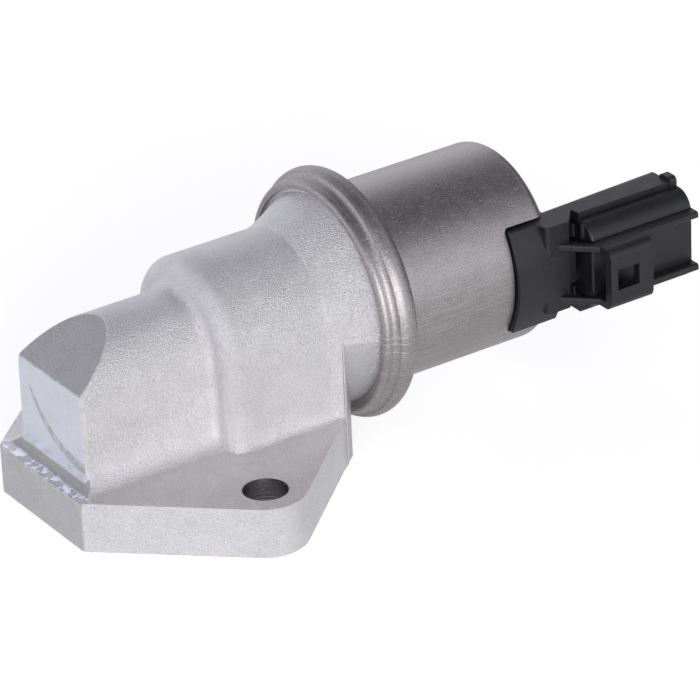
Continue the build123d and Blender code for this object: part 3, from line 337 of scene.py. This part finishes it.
class CastingFinish(bpy.types.PropertyGroup):
    light: bpy.props.StringProperty(
        name="Light", description="Bright tone of the blasted grit", default="#FFFFFF")
    dark: bpy.props.StringProperty(
        name="Dark", description="Dark tone of the blasted grit", default="#CFCDD0")
    pad: bpy.props.StringProperty(
        name="Flange top", description="Tone of the flange's smoother top", default="#F4F0F2")
    linished: bpy.props.StringProperty(
        name="End face", description="Tone of the linished end face", default="#F0F3FD")
    streak: bpy.props.FloatProperty(
        name="Streak radius", description="Radius of the dull streak on the end face",
        default=16.85 * MM, unit="LENGTH")
    streak_centre: bpy.props.FloatVectorProperty(
        name="Streak centre", description="Centre of the dull streak's arc, across and up",
        size=2, unit="LENGTH", default=(-8.56 * MM, 28.97 * MM))
    grit: bpy.props.FloatProperty(
        name="Grit", description="Size of the blasted grain, coarse enough to show",
        default=0.28 * MM, unit="LENGTH")
    depth: bpy.props.FloatProperty(
        name="Depth", description="Depth of the blasted grain", default=0.2 * MM, unit="LENGTH")
    roughness: bpy.props.FloatProperty(
        name="Roughness", description="Roughness of the blasted skin", subtype="FACTOR",
        default=0.43)


class CanFinish(bpy.types.PropertyGroup):
    light: bpy.props.StringProperty(
        name="Light", description="Bright tone of the drawn steel", default="#C1BDBC")
    dark: bpy.props.StringProperty(
        name="Dark", description="Dark tone of the drawn steel", default="#969292")
    grain: bpy.props.FloatProperty(
        name="Grain", description="Size of the steel's orange peel, coarse enough to show",
        default=0.22 * MM, unit="LENGTH")
    depth: bpy.props.FloatProperty(
        name="Depth", description="Depth of its ticks and lines", default=0.03 * MM, unit="LENGTH")
    roughness: bpy.props.FloatProperty(
        name="Roughness", description="Roughness of the can", subtype="FACTOR", default=0.36)


class ConnectorFinish(bpy.types.PropertyGroup):
    light: bpy.props.StringProperty(
        name="Light", description="Bright tone of the nylon", default="#232428")
    dark: bpy.props.StringProperty(
        name="Dark", description="Dark tone of the nylon", default="#18191C")
    roughness: bpy.props.FloatProperty(
        name="Roughness", description="Roughness of the nylon", subtype="FACTOR", default=0.4)


class Studio(bpy.types.PropertyGroup):
    camera_place: bpy.props.FloatVectorProperty(
        name="Camera place", description="Where the camera stands", subtype="XYZ",
        unit="LENGTH", default=(-0.34957, -0.59067, 0.37889))
    camera_turn: bpy.props.FloatVectorProperty(
        name="Camera turn", description="How the camera is turned", subtype="EULER",
        default=(math.radians(62.3556), math.radians(2.2576), math.radians(-34.062)))
    lens: bpy.props.FloatProperty(
        name="Lens", description="Focal length on a 36 mm sensor, in mm", default=262.26)
    key_light: bpy.props.FloatProperty(
        name="Key light", description="Brightness of the low front softbox", default=4.6)
    room: bpy.props.FloatProperty(
        name="Room", description="Brightness of the room near the horizon", default=1.1)


# Pieces


def surface_y(x, z):
    """Where the casting's front surface lies at a length and a height, as seen from the front."""
    hit, point, _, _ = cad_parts["valve_body"].ray_cast(
        Vector((x, -60 * MM, z)), Vector((0, 1, 0)))
    if not hit:
        raise RuntimeError("no casting at %.4f, %.4f" % (x, z))
    return point.y


def raised_line(name, points, radii, material):
    """A thin line of flash: a small disc extruded from point to point and scaled on the way."""
    bpy.ops.object.select_all(action="DESELECT")
    first, second = Vector(points[0]), Vector(points[1])
    turn = (second - first).to_track_quat("Z", "Y").to_euler()
    bpy.ops.mesh.primitive_circle_add(
        vertices=8, radius=radii[0], fill_type="NGON", location=first, rotation=turn)
    line = bpy.context.object
    line.name = name
    bpy.ops.object.transform_apply(location=True, rotation=True, scale=True)
    bpy.ops.object.mode_set(mode="EDIT")
    bpy.ops.mesh.select_all(action="SELECT")
    for i in range(1, len(points)):
        here, there = Vector(points[i - 1]), Vector(points[i])
        bpy.ops.mesh.extrude_region_move(TRANSFORM_OT_translate={"value": there - here})
        share = radii[i] / radii[i - 1]
        bpy.ops.transform.resize(value=(share, share, share), center_override=there)
    bpy.ops.mesh.select_all(action="SELECT")
    bpy.ops.mesh.normals_make_consistent(inside=False)
    bpy.ops.object.mode_set(mode="OBJECT")
    bpy.ops.object.shade_smooth_by_angle(angle=math.radians(40))
    line.data.materials.append(material)
    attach(line, "housing")


class VALVE_OT_casting(bpy.types.Operator):
    """Finish the cast body"""
    bl_idname = "valve.casting"
    bl_label = "Cast body"

    def execute(self, context):
        finish_node("valve_body", shot_blasted_casting(context.scene.valve_casting))
        return {"FINISHED"}


# The ridge down the casting's corner: heights and radii in mm, with a nub at the top
RIDGE = (
    (21.3, 0.15), (20.9, 0.34), (20.3, 0.2), (18, 0.17), (15, 0.19), (12, 0.17), (9, 0.18),
    (5, 0.16), (1.5, 0.17), (0.3, 0.1))
# The parting lines on the flare: places along the barrel and radii in mm, and their heights
PARTING_LINE = ((21.8, 0.14), (23.0, 0.1), (24.4, 0.09), (25.6, 0.1), (26.6, 0.14), (27.0, 0.3))
PARTING_RISES = (0.45, -0.75)
PARTING_LIFT = 0.03


class VALVE_OT_flash(bpy.types.Operator):
    """Add the casting's flash: the ridge down each side and the parting lines on the flare"""
    bl_idname = "valve.flash"
    bl_label = "Casting flash"

    def execute(self, context):
        material = bpy.data.materials["Shot-blasted die-cast aluminium"]
        # The casting's own corner, where the flange's web meets the flare
        corner = min((v.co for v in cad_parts["valve_body"].data.vertices
                      if abs(v.co.z - AXIS_Z) < 0.05 * MM and 20 * MM < v.co.x < 22 * MM),
                     key=lambda place: place.y)
        for side, word in ((1, "front"), (-1, "back")):
            points = [(corner.x, side * corner.y, z * MM) for z, _ in RIDGE]
            raised_line(word + "_flash", points, [r * MM for _, r in RIDGE], material)
            for i, rise in enumerate(PARTING_RISES, 1):
                z = AXIS_Z + rise * MM
                points = [(x * MM, side * (surface_y(x * MM, z) + PARTING_LIFT * MM), z)
                          for x, _ in PARTING_LINE]
                raised_line("%s_parting_line_%d" % (word, i), points,
                            [r * MM for _, r in PARTING_LINE], material)
        return {"FINISHED"}


class VALVE_OT_can(bpy.types.Operator):
    """Finish the drawn steel can"""
    bl_idname = "valve.can"
    bl_label = "Solenoid can"

    def execute(self, context):
        finish_node("solenoid_can", drawn_steel(context.scene.valve_can))
        return {"FINISHED"}


class VALVE_OT_connector(bpy.types.Operator):
    """Finish the connector and its blades"""
    bl_idname = "valve.connector"
    bl_label = "Connector"

    def execute(self, context):
        finish_node("connector_housing", moulded_nylon(
            "Moulded black nylon", context.scene.valve_connector))
        blades = turned_metal("Tinned brass strip", "#CFCBC2", "#B3AEA4", 0.28, 0.4 * MM)
        for name in ("upper_terminal", "lower_terminal"):
            finish_node(name, blades)
        return {"FINISHED"}


class VALVE_OT_return_coil(bpy.types.Operator):
    """Put a welded, smooth-shaded copy of the return spring on the housing, in place of the CAD
    node
    """
    bl_idname = "valve.return_coil"
    bl_label = "Return spring"

    def execute(self, context):
        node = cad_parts["return_spring"]
        node.select_set(True)
        context.view_layer.objects.active = node
        bpy.ops.object.duplicate()
        coil = context.object
        if coil is node:
            raise RuntimeError("the return spring wasn't copied")
        coil.name = "return_coil"
        bpy.ops.object.mode_set(mode="EDIT")
        bpy.ops.mesh.select_all(action="SELECT")
        bpy.ops.mesh.remove_doubles(threshold=0.001 * MM)
        bpy.ops.object.mode_set(mode="OBJECT")
        bpy.ops.object.shade_smooth_by_angle(angle=math.radians(50))
        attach(coil, "housing")
        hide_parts("return_spring")
        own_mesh(coil)
        return {"FINISHED"}


class VALVE_OT_valve_parts(bpy.types.Operator):
    """Finish the valve, its stem, bushes and springs"""
    bl_idname = "valve.valve_parts"
    bl_label = "Valve parts"

    def execute(self, context):
        brass = turned_metal("Turned brass", "#D9B873", "#B9934F", 0.3, 0.15 * MM)
        for name in ("seat_ring", "front_bush", "rear_bush", "air_gap_shim"):
            finish_node(name, brass)
        steel = turned_metal("Ground stainless steel", "#C9C8C6", "#A9A8A6", 0.22, 0.06 * MM)
        for name in (
                "valve_stem", "valve_clip", "spring_cup", "cup_clip", "front_spring",
                "return_spring", "bearing_retainer", "adjusting_screw", "armature_sleeve"):
            finish_node(name, steel)
        iron = turned_metal("Turned soft iron", "#A5A3A1", "#858381", 0.36, 0.2 * MM)
        for name in (
                "bearing_plate", "armature", "fixed_core", "front_yoke_plate",
                "rear_yoke_plate"):
            finish_node(name, iron)
        copper = turned_metal("Enamelled copper wire", "#B5653A", "#6E3417", 0.3, 0.3 * MM)
        finish_node("coil_winding", copper)
        nylon = moulded_nylon("Moulded grey nylon", context.scene.valve_connector)
        for name in ("coil_bobbin", "valve_cone"):
            finish_node(name, nylon)
        finish_node("body_seal", moulded_rubber())
        return {"FINISHED"}


# Stage


def softbox(name, place, aim, width, height, brightness, tint):
    """A square light of a given brightness, turned to face a point."""
    bpy.ops.object.light_add(type="AREA", location=place)
    lamp = bpy.context.object
    lamp.name = name
    lamp.rotation_euler = (Vector(aim) - Vector(place)).to_track_quat("-Z", "Y").to_euler()
    lamp.data.shape = "RECTANGLE"
    lamp.data.size = width
    lamp.data.size_y = height
    lamp.data.color = linear(tint)[:3]
    lamp.data.energy = brightness * math.pi * width * height


def card(name, place, aim, width, height, tint):
    """A card that metal mirrors and the camera doesn't see."""
    bpy.ops.mesh.primitive_plane_add(size=1.0)
    board = bpy.context.object
    board.name = name
    board.scale = (width, height, 1)
    board.rotation_euler = (Vector(aim) - Vector(place)).to_track_quat("Z", "Y").to_euler()
    board.location = place
    board.visible_camera = False
    material = bpy.data.materials.new(name + " cloth")
    tree = new_tree(material)
    put(tree, "ShaderNodeOutputMaterial", put(tree, "ShaderNodeBsdfDiffuse", linear(tint)))
    board.data.materials.append(material)


class VALVE_OT_studio(bpy.types.Operator):
    """Set up the camera, the floor and the lights"""
    bl_idname = "valve.studio"
    bl_label = "Studio"

    def execute(self, context):
        studio = context.scene.valve_studio
        bpy.ops.object.select_all(action="DESELECT")
        bpy.ops.object.camera_add(
            location=studio.camera_place, rotation=Euler(studio.camera_turn))
        camera = context.object
        camera.data.lens = studio.lens
        camera.data.sensor_width = 36.0
        camera.data.clip_start = 0.01
        context.scene.camera = camera
        context.scene.view_settings.view_transform = "Standard"

        bpy.ops.mesh.primitive_plane_add(size=6.0, location=(0, 0, -0.1 * MM))
        floor = context.object
        floor.name = "floor"
        floor.data.materials.append(self.white_floor())
        middle = (0.03, 0, 0.02)
        card("right_card", (0.92, 0.12, 0.3), middle, 1.3, 0.75, "#7E7E82")
        softbox("key_softbox", (-0.36, -1.1, 0.28), middle, 0.9, 0.5, studio.key_light, "#FFFDFA")
        self.white_room(context, studio.room)
        return {"FINISHED"}

    def white_floor(self):
        """White paper: plain white to the eye, and it still takes the valve's soft shadow."""
        material = bpy.data.materials.new("White paper")
        add = functools.partial(put, new_tree(material))
        path = add("ShaderNodeLightPath").outputs
        mirrored = add(MATH, path["Is Glossy Ray"], path["Is Transmission Ray"],
                       operation="MAXIMUM")
        mirrored = add(MATH, mirrored, 0.24, operation="MULTIPLY")
        lift = add(MATH, path["Is Camera Ray"], 0.64, mirrored, operation="MULTIPLY_ADD")
        paper = add("ShaderNodeBsdfDiffuse", linear("#E8E8E8"))
        glow = add("ShaderNodeEmission", linear("#FFFFFF"), lift)
        sheet = add("ShaderNodeAddShader", paper, glow)
        # Seen from below, the paper is clear, so that the mounting face shows
        below = add("ShaderNodeNewGeometry").outputs["Backfacing"]
        clear = add("ShaderNodeBsdfTransparent")
        add("ShaderNodeOutputMaterial", add("ShaderNodeMixShader", below, sheet, clear))
        return material

    def white_room(self, context, strength):
        """A white room that darkens overhead, and is plain white to the eye."""
        world = bpy.data.worlds.new("White room")
        context.scene.world = world
        add = functools.partial(put, new_tree(world))
        path = add("ShaderNodeLightPath").outputs
        up = add(SPLIT, add("ShaderNodeTexCoord").outputs["Generated"]).outputs[2]
        low = add(RANGE, up, 0.0, 0.6, strength, strength * 0.8)
        high = add(RANGE, up, 0.52, 0.88, 1.0, 0.14, interpolation_type="SMOOTHSTEP")
        level = add(MATH, low, high, operation="MULTIPLY")
        level = add(MATH, level, path["Is Camera Ray"], operation="MAXIMUM")
        tint = add(MIX, path["Is Camera Ray"], linear("#F6F6FF"), linear("#FFFFFF"),
                   data_type="RGBA")
        add("ShaderNodeOutputWorld", add("ShaderNodeBackground", tint, level))


class VALVE_PT_panel(bpy.types.Panel):
    """The valve's settings and steps"""
    bl_idname = "VALVE_PT_panel"
    bl_label = "Idle air control valve"
    bl_space_type = "VIEW_3D"
    bl_region_type = "UI"
    bl_category = "Valve"

    def draw(self, context):
        for group, title in GROUPS:
            box = self.layout.box()
            box.label(text=title)
            settings = getattr(context.scene, group)
            for key in settings.__annotations__:
                box.prop(settings, key)
        for step in STEPS:
            self.layout.operator(step.bl_idname)


GROUPS = (
    ("valve_casting", "Cast body"),
    ("valve_can", "Solenoid can"),
    ("valve_connector", "Connector"),
    ("valve_studio", "Studio"),
)
SETTINGS = (CastingFinish, CanFinish, ConnectorFinish, Studio)
STEPS = (
    VALVE_OT_casting, VALVE_OT_flash, VALVE_OT_can, VALVE_OT_connector, VALVE_OT_valve_parts,
    VALVE_OT_return_coil, VALVE_OT_studio)


def register():
    for item in SETTINGS + STEPS + (VALVE_PT_panel,):
        bpy.utils.register_class(item)
    for (group, _), settings in zip(GROUPS, SETTINGS):
        setattr(bpy.types.Scene, group, bpy.props.PointerProperty(type=settings))


def unregister():
    for group, _ in GROUPS:
        delattr(bpy.types.Scene, group)
    for item in reversed(SETTINGS + STEPS + (VALVE_PT_panel,)):
        bpy.utils.unregister_class(item)


def main():
    register()
    for step in STEPS:
        bpy.ops.object.select_all(action="DESELECT")
        area, name = step.bl_idname.split(".")
        getattr(getattr(bpy.ops, area), name)()
    bpy.context.view_layer.update()


if __name__ == "__main__":
    main()
